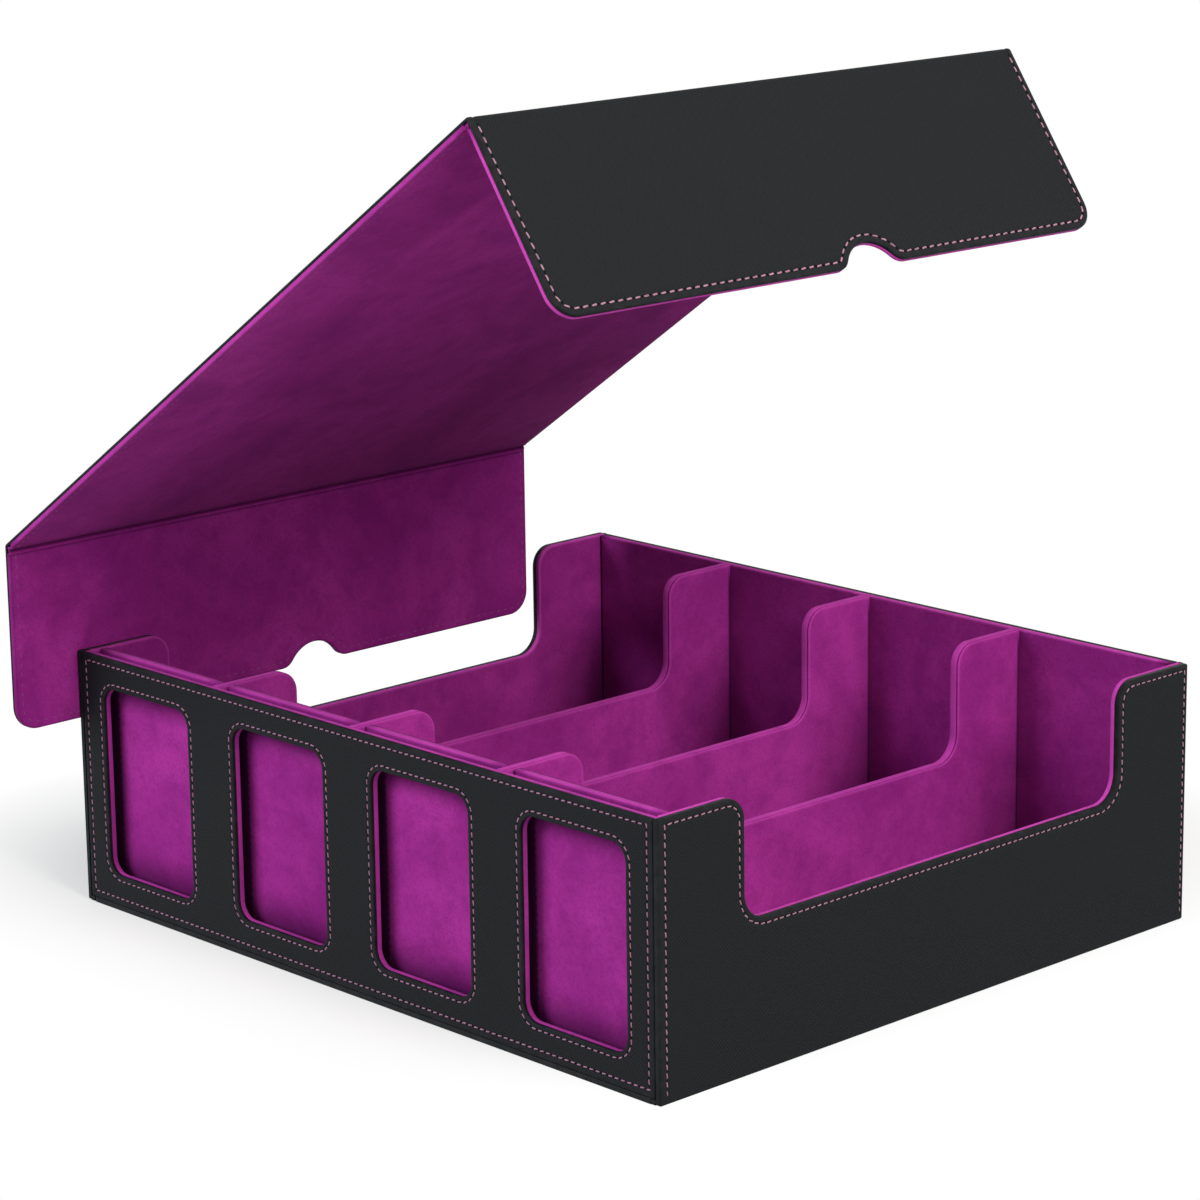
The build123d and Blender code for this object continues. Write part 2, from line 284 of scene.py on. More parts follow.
def suede_material():
    """Purple suede: short nap, brushed in patches, with darker specks, paler rims that are worn nap and a
    painted sheen highlight, and dark seams that also carry painted shade.
    """
    material, tree, shader = blank("suede")
    solid, edge = in_space(tree), edge_share(tree)
    brushed = speckle(tree, solid, scale=15.0, detail=4.0, rough=0.6, stretch=0.8)
    mottle = speckle(tree, solid, scale=75.0, detail=6.0, rough=0.68, stretch=0.4)
    fibre = speckle(tree, solid, scale=900.0, detail=3.0, rough=0.7)
    hair = speckle(tree, solid, scale=3600.0, detail=1.0)
    colour = mixed(tree, spread(tree, brushed, (0.36, 0.64)), *suede_colours)
    colour = mixed(tree, spread(tree, mottle, (0.44, 0.66), (0, 0.42)), colour, suede_mottle)
    colour = mixed(tree, spread(tree, fibre, (0.46, 0.72), (0, 0.38)), colour, suede_fibre)
    broken = spread(tree, mottle, (0.3, 0.7), (0.85, 0.55))
    colour = mixed(tree, sums(tree, "MULTIPLY", sums(tree, "MAXIMUM", edge, 0.0), broken), colour, suede_rim_wear_and_sheen)
    # Negative edge shares darken towards the seam colour: dark seams, and painted shade at joints, creases,
    # the left flap's rim and behind the windows.
    seam = sums(tree, "MULTIPLY", sums(tree, "MINIMUM", edge, 0.0), -0.85)
    nap = sums(tree, "ADD", fibre, sums(tree, "MULTIPLY", hair, 0.6))
    feed(tree, shader, {
        "Base Color": mixed(tree, seam, colour, suede_seam_and_shade),
        "Normal": relief(tree, nap, strength=0.5, distance=0.00022),
        "Roughness": 0.92,
        "Specular IOR Level": 0.04,
        "Sheen Weight": 0.06,
        "Sheen Roughness": 0.45,
        "Sheen Tint": suede_sheen,
    })
    return material


def thread_material(name, dark, pale):
    """Twisted sewing thread, whose plies run round it as it runs along."""
    material, tree, shader = blank(name)
    plies = stripes(tree, on_panel(tree), ply_turn, ply_period, {"Distortion": 0.6})
    uneven = speckle(tree, in_space(tree), scale=210.0)
    colour = mixed(tree, spread(tree, uneven, (0.3, 0.7)), dark, pale)
    between = tuple(ply_shade * part for part in dark[:3]) + (1,)
    feed(tree, shader, {
        "Base Color": mixed(tree, spread(tree, plies, (0.0, 0.5), (0.4, 0.0)), colour, between),
        "Normal": relief(tree, plies, strength=0.6, distance=0.0001),
        "Roughness": 0.55,
        "Sheen Weight": 0.25,
    })
    return material


def board_material():
    """Grey board with fibres, inside the covers."""
    material, tree, shader = blank("board")
    fibres = speckle(tree, in_space(tree), scale=900.0, detail=4.0, rough=0.7)
    feed(tree, shader, {
        "Base Color": mixed(tree, spread(tree, fibres, (0.35, 0.65)), *board_colours),
        "Normal": relief(tree, fibres, strength=0.3, distance=0.0001),
        "Roughness": 0.9,
    })
    return material


def magnet_material():
    """Plated magnet, inside the board."""
    material, tree, shader = blank("magnet")
    scuffs = speckle(tree, in_space(tree), scale=700.0, detail=3.0)
    feed(tree, shader, {
        "Base Color": mixed(tree, spread(tree, scuffs, (0.3, 0.7)), *magnet_colours),
        "Roughness": spread(tree, scuffs, (0.3, 0.7), (0.22, 0.40)),
        "Metallic": 1.0,
    })
    return material


def hole_material():
    """Needle hole in leather or suede, painted near black for the shade inside it."""
    material, tree, shader = blank("needle_hole")
    fuzz = speckle(tree, in_space(tree), scale=3000.0)
    feed(tree, shader, {
        "Base Color": mixed(tree, fuzz, *hole_shade_colours),
        "Roughness": 0.9,
        "Specular IOR Level": 0.05,
    })
    return material


LEATHER, SUEDE = leather_material(), suede_material()
THREADS = {name: thread_material(f"{name}_thread", *pair) for name, pair in thread_colours.items()}
BOARD, MAGNET, HOLE = board_material(), magnet_material(), hole_material()
for name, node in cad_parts.items():
    if name.endswith(("board", "magnets")):
        node.data.materials.clear()
        node.data.materials.append(BOARD if name.endswith("board") else MAGNET)


# Outlines. An outline gives, for an inset, its paths and whether each is closed. A path is a list of
# arcs (x, y, radius, start, end, groove, after), joined by straight runs. The groove is the share of
# the sewn groove that an arc has, and after is that of the run that follows it.
def corner(x, y, way_x, way_y, radius, start, groove=1.0, after=1.0):
    """Round corner of a straight-sided outline, where the sides run inwards along the ways."""
    held = max(radius, sharpest)
    return (x + way_x * held, y + way_y * held, held, start, start + 90, groove, after)


def point(x, y):
    """Arc of no size, at the end of an open path."""
    return (x, y, 0.0, 0.0, 0.0, 1, 1)


def rectangle(low, high, radius=corner_round, shares=(1, 1, 1, 1), grooves=(1, 1, 1, 1)):
    """Outline of a rectangle. Shares and grooves are for its low y, high x, high y and low x sides."""
    def paths(inset):
        x0, x1 = low[0] + inset * shares[3], high[0] - inset * shares[1]
        y0, y1 = low[1] + inset * shares[0], high[1] - inset * shares[2]
        held = radius - inset
        places = ((x0, y0, 1, 1), (x1, y0, -1, 1), (x1, y1, -1, -1), (x0, y1, 1, -1))
        return [[
            corner(*place, held, (180 + 90 * k) % 360, grooves[k - 1] * grooves[k], grooves[k])
            for k, place in enumerate(places)
        ]], [True]
    return paths


def scooped(front, back, foot, front_share=1.0, back_share=1.0, ends=1.0):
    """Outline of an upright panel with a hand scoop, in (Y, Z). Its foot has no groove."""
    def paths(inset):
        top, floor = box_height - inset, scoop_floor - inset
        y0, y1, z0 = front + inset * front_share, back - inset * back_share, foot + inset
        near, far = front_tower - half_depth - inset, half_depth - back_tower + inset
        crown, hollow, held = scoop_top_round - inset, scoop_floor_round + inset, corner_round - inset
        return [[
            corner(y0, z0, 1, 1, held, 180, 0, 0),
            corner(y1, z0, -1, 1, held, 270, 0, ends),
            corner(y1, top, -1, -1, held, 0),
            (far + crown, top - crown, crown, 90, 180, 1, 1),
            (far - hollow, floor + hollow, hollow, 0, -90, 1, 1),
            (near + hollow, floor + hollow, hollow, -90, -180, 1, 1),
            (near - crown, top - crown, crown, 0, 90, 1, 1),
            corner(y0, top, 1, -1, held, 90, 1, ends),
        ]], [True]
    return paths


def windowed(inset):
    """Outline of the front panel, in (X, Z), with its windows."""
    half = half_width - wall_turn - fascia_end_gap
    paths, closed = rectangle((-half, base_thick), (half, box_height), shares=(fascia_share,) * 4)(inset)
    wider = inset * window_share
    z0, z1, held = window_sill - wider, box_height - window_head + wider, window_round + wider
    for middle in row_middles:
        x0, x1 = (middle + side * (row_width / 2 - window_side + wider) for side in (-1, 1))
        paths.append([
            (x0 + held, z0 + held, held, 270, 180, 1, 1),
            (x0 + held, z1 - held, held, 180, 90, 1, 1),
            (x1 - held, z1 - held, held, 90, 0, 1, 1),
            (x1 - held, z0 + held, held, 0, -90, 1, 1),
        ])
        closed.append(True)
    return paths, closed


def lid_ends(inset):
    """Front and back of the lid, in Y, at an inset."""
    return -lid_depth / 2 + inset * lid_front_share, lid_depth / 2 - inset * lid_back_share


def flap_edge(inset):
    """Arcs of a flap's free edge with its notch, from front to back, in (away from the fold, Y)."""
    low, high = lid_ends(inset)
    end, held = flap_reach - inset, flap_round - inset
    shoulder, hollow = notch_shoulder_round - inset, notch_round + inset
    centre = flap_reach - notch_depth + notch_round
    base = flap_reach - notch_shoulder_round
    side = sqrt((notch_round + notch_shoulder_round) ** 2 - (centre - base) ** 2)
    turn = degrees(atan2(side, centre - base))
    return [
        (end - held, low + held, held, -90, 0, 1, 1),
        (base, notch_back - side, shoulder, 0, turn, 1, 1),
        (centre, notch_back, hollow, 180 + turn, 180 - turn, 1, 1),
        (base, notch_back + side, shoulder, -turn, 0, 1, 1),
        (end - held, high - held, held, 0, 90, 1, 1),
    ]


def flap_cover(inset):
    """Open outline of a flap's cover, from the fold round to the fold."""
    low, high = lid_ends(inset)
    return [[point(crease_start, low), *flap_edge(inset), point(crease_start, high)]], [False]


def flap_lining(inset):
    """Closed outline of a flap's lining."""
    low, high = lid_ends(inset)
    start, held = crease_reach + inset, corner_round - inset
    return [[
        corner(start, low, 1, 1, held, 180, plain_groove, 1), *flap_edge(inset),
        corner(start, high, 1, -1, held, 90, plain_groove, plain_groove),
    ]], [True]


def top_cover(inset):
    """Open outline of the lid's top: its front edge and its back edge."""
    low, high = lid_ends(inset)
    end = fold_to_fold - crease_start
    return [
        [point(crease_start, low), point(end, low)],
        [point(end, high), point(crease_start, high)],
    ], [False, False]


def on_arc(arc, angle):
    x, y, radius, *_ = arc
    return (x + radius * cos(radians(angle)), y + radius * sin(radians(angle)))


def trace(arcs, counts):
    """Points of a path and their groove shares. The counts divide its straight runs."""
    points, grooves = [], []
    for index, arc in enumerate(arcs):
        start, end, groove, after = arc[3:]
        steps = ceil(abs(end - start) / arc_step)
        for step in range(steps + 1):
            points.append(on_arc(arc, start + (end - start) * step / max(steps, 1)))
            grooves.append(groove)
        if index < len(counts):
            following = arcs[(index + 1) % len(arcs)]
            last, ahead = points[-1], on_arc(following, following[3])
            for step in range(1, counts[index]):
                share = step / counts[index]
                points.append(tuple(a + (b - a) * share for a, b in zip(last, ahead)))
                grooves.append(after)
    return points, grooves


def run_counts(arcs, closed):
    """How many steps each straight run of a path is divided into."""
    following = arcs[1:] + arcs[:1] if closed else arcs[1:]
    runs = [dist(on_arc(one, one[4]), on_arc(two, two[3])) for one, two in zip(arcs, following)]
    return [max(1, round(run / run_step)) for run in runs]


class Rings:
    """Rings of one outline at any inset, with the same points in each."""

    def __init__(self, outline):
        self.outline = outline
        arcs, self.closed = outline(0.0)
        self.counts = [run_counts(path, closed) for path, closed in zip(arcs, self.closed)]

    def at(self, inset):
        """Points and groove shares of each path."""
        arcs, _ = self.outline(inset)
        return [trace(path, counts) for path, counts in zip(arcs, self.counts)]


def outward(points, closed):
    """Outward normals along a path that has its material on the left."""
    normals = []
    count = len(points)
    for index in range(count):
        before = points[(index - 1) % count if closed else max(index - 1, 0)]
        after = points[(index + 1) % count if closed else min(index + 1, count - 1)]
        dx, dy = after[0] - before[0], after[1] - before[1]
        length = max(hypot(dx, dy), tiny)
        normals.append((dy / length, -dx / length))
    return normals


def inside(points, loops):
    """Which points lie inside the loops, counted even and odd."""
    x, y = points[:, 0], points[:, 1]
    found = np.zeros(len(points), bool)
    for loop in loops:
        x0, y0 = loop[:, 0], loop[:, 1]
        x1, y1 = np.roll(x0, -1), np.roll(y0, -1)
        for a, b, c, d in zip(x0, y0, x1, y1):
            if b != d:
                found ^= ((b > y) != (d > y)) & (x < (c - a) * (y - b) / (d - b) + a)
    return found


# Meshes
def placed(name, data):
    """New object in the scene."""
    made = bpy.data.objects.new(name, data)
    scene.collection.objects.link(made)
    return made


class Sheet:
    """Mesh in the making, with a flat map and an edge share at each point.

    Its points are placed across, along and into a panel. A ring is a list of paths of points.
    """

    def __init__(self, origin, across, along, inwards):
        self.place = (Vector(origin), Vector(across), Vector(along), Vector(inwards))
        self.points, self.flat, self.edges, self.faces, self.other_faces = [], [], [], [], []

    def put(self, x, y, depth, flat=None, edge=0.0):
        """New point. Its place on the flat map is that on the panel, unless it is given."""
        origin, across, along, inwards = self.place
        self.points.append((origin + across * x + along * y + inwards * depth) * MM)
        self.flat.append(flat or (x, y))
        self.edges.append(edge)
        return len(self.points) - 1

    def ring(self, rings, inset, depth, groove=0.0, edge=0.0):
        """One ring of points. The groove is added to the depth by its share."""
        made = []
        # Painted shade near a rim that has no groove, where it meets another part.
        shade = min(1, max(0, 1 - (inset - joint_shade_reach) / joint_shade_fade))
        for (points, shares), closed in zip(rings.at(inset), rings.closed):
            path = []
            for (x, y), (nx, ny), share in zip(points, outward(points, closed), shares):
                flat = (x + depth * nx, y + depth * ny)
                tone = edge * share - shade * (1 - share)
                path.append(self.put(x, y, depth + groove * share, flat, tone))
            made.append(path)
        return made

    def bridge(self, made, closed):
        """Quads between each ring and the next."""
        for first, second in zip(made, made[1:]):
            for one, two, round_it in zip(first, second, closed):
                count = len(one)
                for index in range(count if round_it else count - 1):
                    ahead = (index + 1) % count
                    self.faces.append((one[index], one[ahead], two[ahead], two[index]))

    def tube(self, paths):
        """Quads between closed paths, each bridged to the next."""
        self.bridge([[path] for path in paths], [True])

    def flat_place(self, index):
        """Where a point lies on the plane of the panel, in millimetres."""
        origin, across, along, _ = self.place
        away = self.points[index] / MM - origin
        return (away.dot(across), away.dot(along))

    def joined(self, ring, depth, step):
        """One loop of the open paths of a ring, joined end to end by straight runs."""
        loop = []
        for index, path in enumerate(ring):
            loop += path
            ahead = ring[(index + 1) % len(ring)][0]
            a, b = self.flat_place(path[-1]), self.flat_place(ahead)
            count = round(dist(a, b) / step)
            for part in range(1, count):
                x, y = (a[k] + (b[k] - a[k]) * part / count for k in (0, 1))
                loop.append(self.put(x, y, depth))
        return loop

    def fill(self, ring, closed, depth, wave=0.0, step=fill_step, tone=None):
        """Triangles inside a ring, on a grid that waves a little.

        The tone gives the edge share at a place on the grid.
        """
        loops = [list(path) for path in ring] if all(closed) else [self.joined(ring, depth, step)]
        flat = [np.array([self.flat_place(index) for index in loop]) for loop in loops]
        border = np.concatenate(flat)
        (x0, y0), (x1, y1) = border.min(0), border.max(0)
        columns, rows = (max(1, int(ceil(length / step))) for length in (x1 - x0, y1 - y0))
        grid = np.array([
            (x0 + (i + 0.5 * (j % 2)) * (x1 - x0) / columns, y0 + j * (y1 - y0) / rows)
            for i in range(columns + 1) for j in range(rows + 1)
        ])
        far = np.sqrt(((grid[:, None, :] - border[None, :, :]) ** 2).sum(2)).min(1)
        grid = grid[inside(grid, flat) & (far > border_share * step)]
        keys = [index for loop in loops for index in loop]
        for x, y in grid:
            sway = wave * noise.noise(Vector((x / wave_length, y / wave_length, depth + wave_seed)))
            keys.append(self.put(x, y, depth + sway, None, tone(x, y) if tone else 0.0))
        edges, start = [], 0
        for loop in loops:
            edges += [(start + index, start + (index + 1) % len(loop)) for index in range(len(loop))]
            start += len(loop)
        places = [Vector(place) for place in np.concatenate([border, grid])]
        corners, _, faces, origins, _, _ = delaunay_2d_cdt(places, edges, [], 0, merged)
        centres = np.array([[sum(corners[k][axis] for k in face) / 3 for axis in (0, 1)] for face in faces])
        for face, kept in zip(faces, inside(centres, flat)):
            if kept:
                self.faces.append(tuple(keys[origins[k][0]] for k in face))

    def object(self, name, *materials):
        """Closed mesh object, smooth but for its sharp edges. Its other faces take the second material."""
        mesh = bpy.data.meshes.new(name)
        mesh.from_pydata(self.points, [], self.faces + self.other_faces)
        kinds = [0] * len(self.faces) + [1] * len(self.other_faces)
        mesh.polygons.foreach_set("material_index", kinds)
        mesh.attributes.new("edge", "FLOAT", "POINT").data.foreach_set("value", self.edges)
        layer = mesh.uv_layers.new(name="panel")
        uses = np.zeros(len(mesh.loops), np.int32)
        mesh.loops.foreach_get("vertex_index", uses)
        layer.data.foreach_set("uv", (np.array(self.flat)[uses] * MM).astype(np.float32).ravel())
        work = bmesh.new()
        work.from_mesh(mesh)
        open_edges = [edge for edge in work.edges if edge.is_boundary]
        if open_edges:
            caps = bmesh.ops.holes_fill(work, edges=open_edges, sides=0)["faces"]
            bmesh.ops.triangulate(work, faces=caps)
        bmesh.ops.recalc_face_normals(work, faces=work.faces)
        work.to_mesh(mesh)
        work.free()
        mesh.shade_smooth()
        mesh.set_sharp_from_angle(angle=radians(sharp_angle))
        for material in materials:
            mesh.materials.append(material)
        return placed(name, mesh)


def quarter(radius):
    """Insets and depths over a rounded edge, from the rim to the face."""
    turns = [pi / 2 * step / edge_steps for step in range(edge_steps + 1)]
    return [(radius * (1 - cos(turn)), radius * (1 - sin(turn))) for turn in turns]


def face_profile(turn, stitch, pale=1.0):
    """Steps (inset, depth, groove, edge) from the seam on a panel's rim to the middle of its face."""
    radius = min(edge_round, edge_round_share * turn)
    arc = quarter(radius)
    if turn - seam_chamfer - radius < least_rim:
        arc = arc[1:]
    steps = [(seam_chamfer, turn, 0, seam_edge), (0, turn - seam_chamfer, 0, rim_edge * pale)]
    steps += [(inset, depth, 0, pale * (1.0 - rim_edge_fade * inset / radius)) for inset, depth in arc]
    if not stitch:
        return steps + [(inset, 0, 0, edge * pale) for inset, edge in plain_face]
    flank = groove_flank_share * groove_depth
    sewn = (
        (bulge_start, -edge_bulge), (stitch - groove_reach, -edge_bulge), (stitch - groove_half, flank),
        (stitch, groove_depth), (stitch + groove_half, flank), (stitch + groove_reach, 0),
        (stitch + groove_past, 0),
    )
    return steps + [(inset, 0, groove, edge) for (inset, groove), edge in zip(sewn, worn_edges)]


def covering(name, place, outline, turn, material, stitch=None, wave=leather_wave, pale=1.0):
    """Skin that covers one face of a panel and turns over its rim, hollow where the board lies."""
    sheet, rings = Sheet(*place), Rings(outline)
    made = [sheet.ring(rings, *step) for step in face_profile(turn, stitch, pale)]
    sheet.bridge(made, rings.closed)
    sheet.fill(made[-1], rings.closed, 0.0, wave)
    inner = made[:1]
    if turn > skin + seam_chamfer:
        inner.insert(0, sheet.ring(rings, skin, turn))
        inner.insert(0, sheet.ring(rings, skin, skin))
    sheet.bridge(inner, rings.closed)
    sheet.fill(inner[0], rings.closed, min(skin, turn), 0.0, hidden_step)
    return sheet.object(name, material)


def sleeve(name, place, outline, thick, tone=None):
    """Suede over both faces and the rim of a board. The tone, a painted shade, is that of its first face."""
    sheet, rings = Sheet(*place), Rings(outline)
    arc = quarter(edge_round)
    seam = thick - sleeve_seam_in
    steps = [(inset, 0, edge) for inset, edge in reversed(sleeve_face)]
    steps += [(inset, depth, sleeve_rim_edge) for inset, depth in reversed(arc)]
    steps += [(inset, seam + past, edge) for inset, past, edge in sleeve_seam]
    steps += [(inset, thick - depth, edge) for (inset, depth), edge in zip(arc, sleeve_far_edges)]
    steps += [(inset, thick, edge) for inset, edge in sleeve_face]
    made = [sheet.ring(rings, inset, depth, 0, edge) for inset, depth, edge in steps]
    sheet.bridge(made, rings.closed)
    sheet.fill(made[0], rings.closed, 0.0, suede_wave, tone_step if tone else fill_step, tone)
    sheet.fill(made[-1], rings.closed, thick, suede_wave)
    return sheet.object(name, SUEDE)


def block(name, low, high):
    """Solid block of leather with its edges taken off."""
    (x0, y0, z0), (x1, y1, z1) = low, high
    sheet, rings = Sheet((0, 0, z0), RIGHT, BACK, UP), Rings(rectangle((x0, y0), (x1, y1), sharpest))
    height = z1 - z0
    steps = [(seam_chamfer, 0), (0, seam_chamfer), (0, height - seam_chamfer), (seam_chamfer, height)]
    sheet.bridge([sheet.ring(rings, inset, depth) for inset, depth in steps], rings.closed)
    return sheet.object(name, LEATHER)


# Stitches
def along_path(points, closed):
    """Points of a path and the lengths along it up to each of them."""
    joined = points + points[:1] if closed else points
    lengths = [0.0]
    for a, b in zip(joined, joined[1:]):
        lengths.append(lengths[-1] + dist(a, b))
    return joined, lengths


def spot(joined, lengths, at):
    """Place and direction at a length along a path."""
    index = int(np.searchsorted(lengths, at, side="right")) - 1
    index = min(max(index, 0), len(joined) - 2)
    (x, y), (x2, y2) = joined[index], joined[index + 1]
    span = max(lengths[index + 1] - lengths[index], tiny)
    share = (at - lengths[index]) / span
    return (x + (x2 - x) * share, y + (y2 - y) * share), ((x2 - x) / span, (y2 - y) / span)


STITCH_TURNS = [2 * pi * side / stitch_sides for side in range(stitch_sides)]


def needle_hole(sheet, x, y, radius):
    """Small cup in a panel's face, dark with painted shade."""
    wide = hole_share * radius
    rim = [sheet.put(x + wide * cos(turn), y + wide * sin(turn), hole_depth) for turn in STITCH_TURNS]
    bottom, top = sheet.put(x, y, hole_depth + radius), sheet.put(x, y, hole_depth + hole_crown)
    for one, two in zip(rim, rim[1:] + rim[:1]):
        sheet.other_faces += [(one, two, top), (two, one, bottom)]


def one_stitch(sheet, middle, way, step, radius, depth, number):
    """Stitch that dives in at both ends. Its number makes it a little unlike the others."""
    (x, y), (dx, dy) = middle, way
    sway = noise.noise(Vector((sway_pitch * number, sway_row, depth)))
    slant = radians(stitch_slant + slant_sway * sway)
    tx, ty = dx * cos(slant) - dy * sin(slant), dx * sin(slant) + dy * cos(slant)
    reach = step * stitch_share / 2 * (1 + length_sway * sway)
    rings = []
    for station in range(stitch_stations):
        part = 2 * station / (stitch_stations - 1) - 1
        thin = radius * sqrt(1 - thin_share * part ** thin_power)
        sink = depth + sink_share * radius * part ** sink_power
        ring = []
        for turn in STITCH_TURNS:
            off, lift = thin * cos(turn), thin * sin(turn)
            px, py = x + tx * reach * part - ty * off, y + ty * reach * part + tx * off
            around = radius * (turn if turn < pi else 2 * pi - turn)
            ring.append(sheet.put(px, py, sink - lift, (reach * part + thread_shift * number, around)))
        rings.append(ring)
    sheet.tube(rings)
    sheet.faces.append(tuple(rings[0]))
    sheet.faces.append(tuple(reversed(rings[-1])))


def sew(name, place, lines, pitch, radius, material, depth):
    """Stitches along lines of points on a panel's face, with a needle hole at both ends of each."""
    sheet = Sheet(*place)
    number = 0
    for points, closed in lines:
        joined, lengths = along_path(points, closed)
        count = max(1, round(lengths[-1] / pitch))
        step = lengths[-1] / count
        for index in range(count if closed else count + 1):
            (x, y), _ = spot(joined, lengths, index * step)
            needle_hole(sheet, x, y, radius)
        for index in range(count):
            number += 1
            middle, way = spot(joined, lengths, (index + 0.5) * step)
            one_stitch(sheet, middle, way, step, radius, depth, number)
    return sheet.object(name, material, HOLE)


def sewn_lines(outline, inset):
    """Parts of an outline, at an inset, that have a groove and so are sewn, with the points next to them."""
    rings = Rings(outline)
    lines = []
    for (points, grooves), closed in zip(rings.at(inset), rings.closed):
        if min(grooves) > 0:
            lines.append((points, closed))
            continue
        count = len(points)
        for first in [k for k in range(count) if grooves[k] and not grooves[k - 1]]:
            line, k = [points[first - 1]], first
            while grooves[k % count]:
                line.append(points[k % count])
                k += 1
            lines.append((line + [points[k % count]], False))
    return lines


def dress(piece, body, slot=None, *nodes):
    """A piece rides on a body and stands for nodes. The slot is not used."""
    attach(piece, body)
    if nodes:
        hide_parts(*nodes)


def panel(name, body, place, thick, turn, cover, lining, sewing, thread, pale):
    """Leather cover, suede lining and stitching of one panel. Returns the place of its inner face."""
    stitch, pitch, radius = sewing
    origin, across, along, inwards = (Vector(part) for part in place)
    leather = covering(f"{name}_leather", place, cover, turn, LEATHER, stitch)
    dress(leather, body, "leather", f"{name}_cover")
    inner = (origin + inwards * thick, across, along, -inwards)
    suede = covering(f"{name}_suede", inner, lining, thick - turn, SUEDE, wave=suede_wave, pale=pale)
    dress(suede, body, "suede", f"{name}_lining")
    depth = groove_depth + radius - box_thread_radius
    dress(sew(f"{name}_stitching", place, sewn_lines(cover, stitch), pitch, radius, thread, depth), body)
    return inner


# Box
base_outline = rectangle((-wall_inside, -half_depth), (wall_inside, back_inside))
base = covering("base_leather", ((0, 0, 0), RIGHT, BACK, UP), base_outline, base_thick, LEATHER, wave=0.0)
dress(base, "box", "leather", "base_cover")
floor_outline = rectangle((-wall_inside, fascia_back), (wall_inside, back_inside), grooves=(0, 0, 0, 0))
lining = covering("floor_suede", ((0, 0, floor_top), RIGHT, BACK, DOWN), floor_outline, skin, SUEDE)
dress(lining, "box", "suede", "floor_lining")

wall_cover = scooped(-half_depth, half_depth, foot_gap, wall_front_share, wall_back_share)
wall_lining = scooped(fascia_back, half_depth - skin, base_thick)
for name, side in (("left_wall", -1), ("right_wall", 1)):
    place = ((side * half_width, 0, 0), BACK, UP, RIGHT * -side)
    panel(name, "box", place, wall_thick, wall_turn, wall_cover, wall_lining,
          box_sewing, THREADS["box"], wall_pale)
    # The cover wraps the wall's foot and its back end.
    x0, x1 = sorted((side * wall_inside, side * (half_width - wall_turn)))
    wraps = (
        ("foot", (x0, -half_depth, foot_gap), (x1, half_depth, base_thick)),
        ("back", (x0, half_depth - skin, base_thick), (x1, half_depth, box_height)),
    )
    for end, low, high in wraps:
        dress(block(f"{name}_{end}_leather", low, high), "box", "leather")

back_place = ((0, half_depth, 0), RIGHT, UP, -BACK)
back_cover = rectangle((-wall_inside, foot_gap), (wall_inside, box_height), grooves=(0, 1, 1, 1))
back_lining = rectangle((-wall_inside, base_thick), (wall_inside, box_height), grooves=(0, 0, 1, 0))
panel("back_wall", "box", back_place, wall_thick, wall_turn, back_cover, back_lining,
      box_sewing, THREADS["box"], wall_pale)
front_place = ((0, -half_depth, 0), RIGHT, UP, BACK)
panel("front_fascia", "box", front_place, fascia_thick, fascia_turn, windowed, windowed,
      box_sewing, THREADS["front"], fascia_pale)

divider_outline = scooped(fascia_back, back_inside, floor_top, ends=0.0)
for number, middle in enumerate(divider_middles, start=1):
    place = ((middle - divider_thick / 2, 0, 0), BACK, UP, RIGHT)
    divider = sleeve(f"divider_{number}_suede", place, divider_outline, divider_thick)
    dress(divider, "box", "suede", f"divider_{number}_sleeve")


def smooth(value, low, high):
    """Share from 0 at the low value to 1 at the high one, with soft ends."""
    share = min(1, max(0, (value - low) / (high - low)))
    return share * share * (3 - 2 * share)


def slot_shade(x, z):
    """Edge share of a row's front, a painted shade: dark where the front panel hides it, and less so at the
    sill and head.
    """
    low, high = window_sill, box_height - window_head
    past_x = abs(x) - row_width / 2 + window_side + window_round
    past_z = z - high + window_round
    past = hypot(max(past_x, 0), max(past_z, 0)) + min(max(past_x, past_z), 0) - window_round
    hidden = hide_shade * smooth(past, hide_from, hide_to)
    sill = sill_shade * smooth(low - z, -sill_reach, sill_drop)
    head = head_shade * smooth(z - high, -head_reach, 0)
    return -max(hidden, sill, head)


row_outline = rectangle((-row_width / 2, floor_top), (row_width / 2, box_height),
                        grooves=(0, plain_groove, 1, plain_groove))
# Each row front takes a painted shade behind the front panel and at the window's sill and head.
for number, middle in enumerate(row_middles, start=1):
    place = ((middle, fascia_back + slot_depth, 0), RIGHT, UP, BACK)
    row_front = sleeve(f"row_{number}_front_suede", place, row_outline, panel_thick, slot_shade)
    dress(row_front, "box", "suede", f"row_{number}_front_sleeve")

# Lid
top_lining = rectangle(
    (crease_reach, -lid_depth / 2), (fold_to_fold - crease_reach, lid_depth / 2),
    shares=(lid_front_share, 1, lid_back_share, 1), grooves=(1, plain_groove, 1, plain_groove),
)
lid_panels = (
    ("left_flap", left_fold, DOWN, RIGHT, flap_cover, flap_lining, left_flap_pale),
    ("lid_top", left_fold, top_way, top_inwards, top_cover, top_lining, lid_top_pale),
    ("right_flap", right_fold, top_inwards, -top_way, flap_cover, flap_lining, right_flap_pale),
)
for name, fold, way, inwards, cover, lining, pale in lid_panels:
    place = (fold - inwards * (lid_thick / 2), way, BACK, inwards)
    inner = panel(name, name, place, lid_thick, lid_turn, cover, lining, lid_sewing, THREADS["lid"], pale)
    thread = sew(f"{name}_lining_stitching", inner, sewn_lines(cover, lid_stitch_inset), lid_stitch_pitch,
                 box_thread_radius, THREADS["lining"], lining_thread_depth)
    dress(thread, name)


def bend_stations(first_way, first_out, second_way, second_out):
    """Places round a fold, from one panel to the other: (offset along a panel, outward direction)."""
    found = [(first_way * crease_start * share, first_out) for share in bend_shares]
    for step in range(bend_steps + 1):
        found.append((Vector(), first_out.lerp(second_out, step / bend_steps).normalized()))
    found += [(second_way * crease_start * share, second_out) for share in reversed(bend_shares)]
    return found


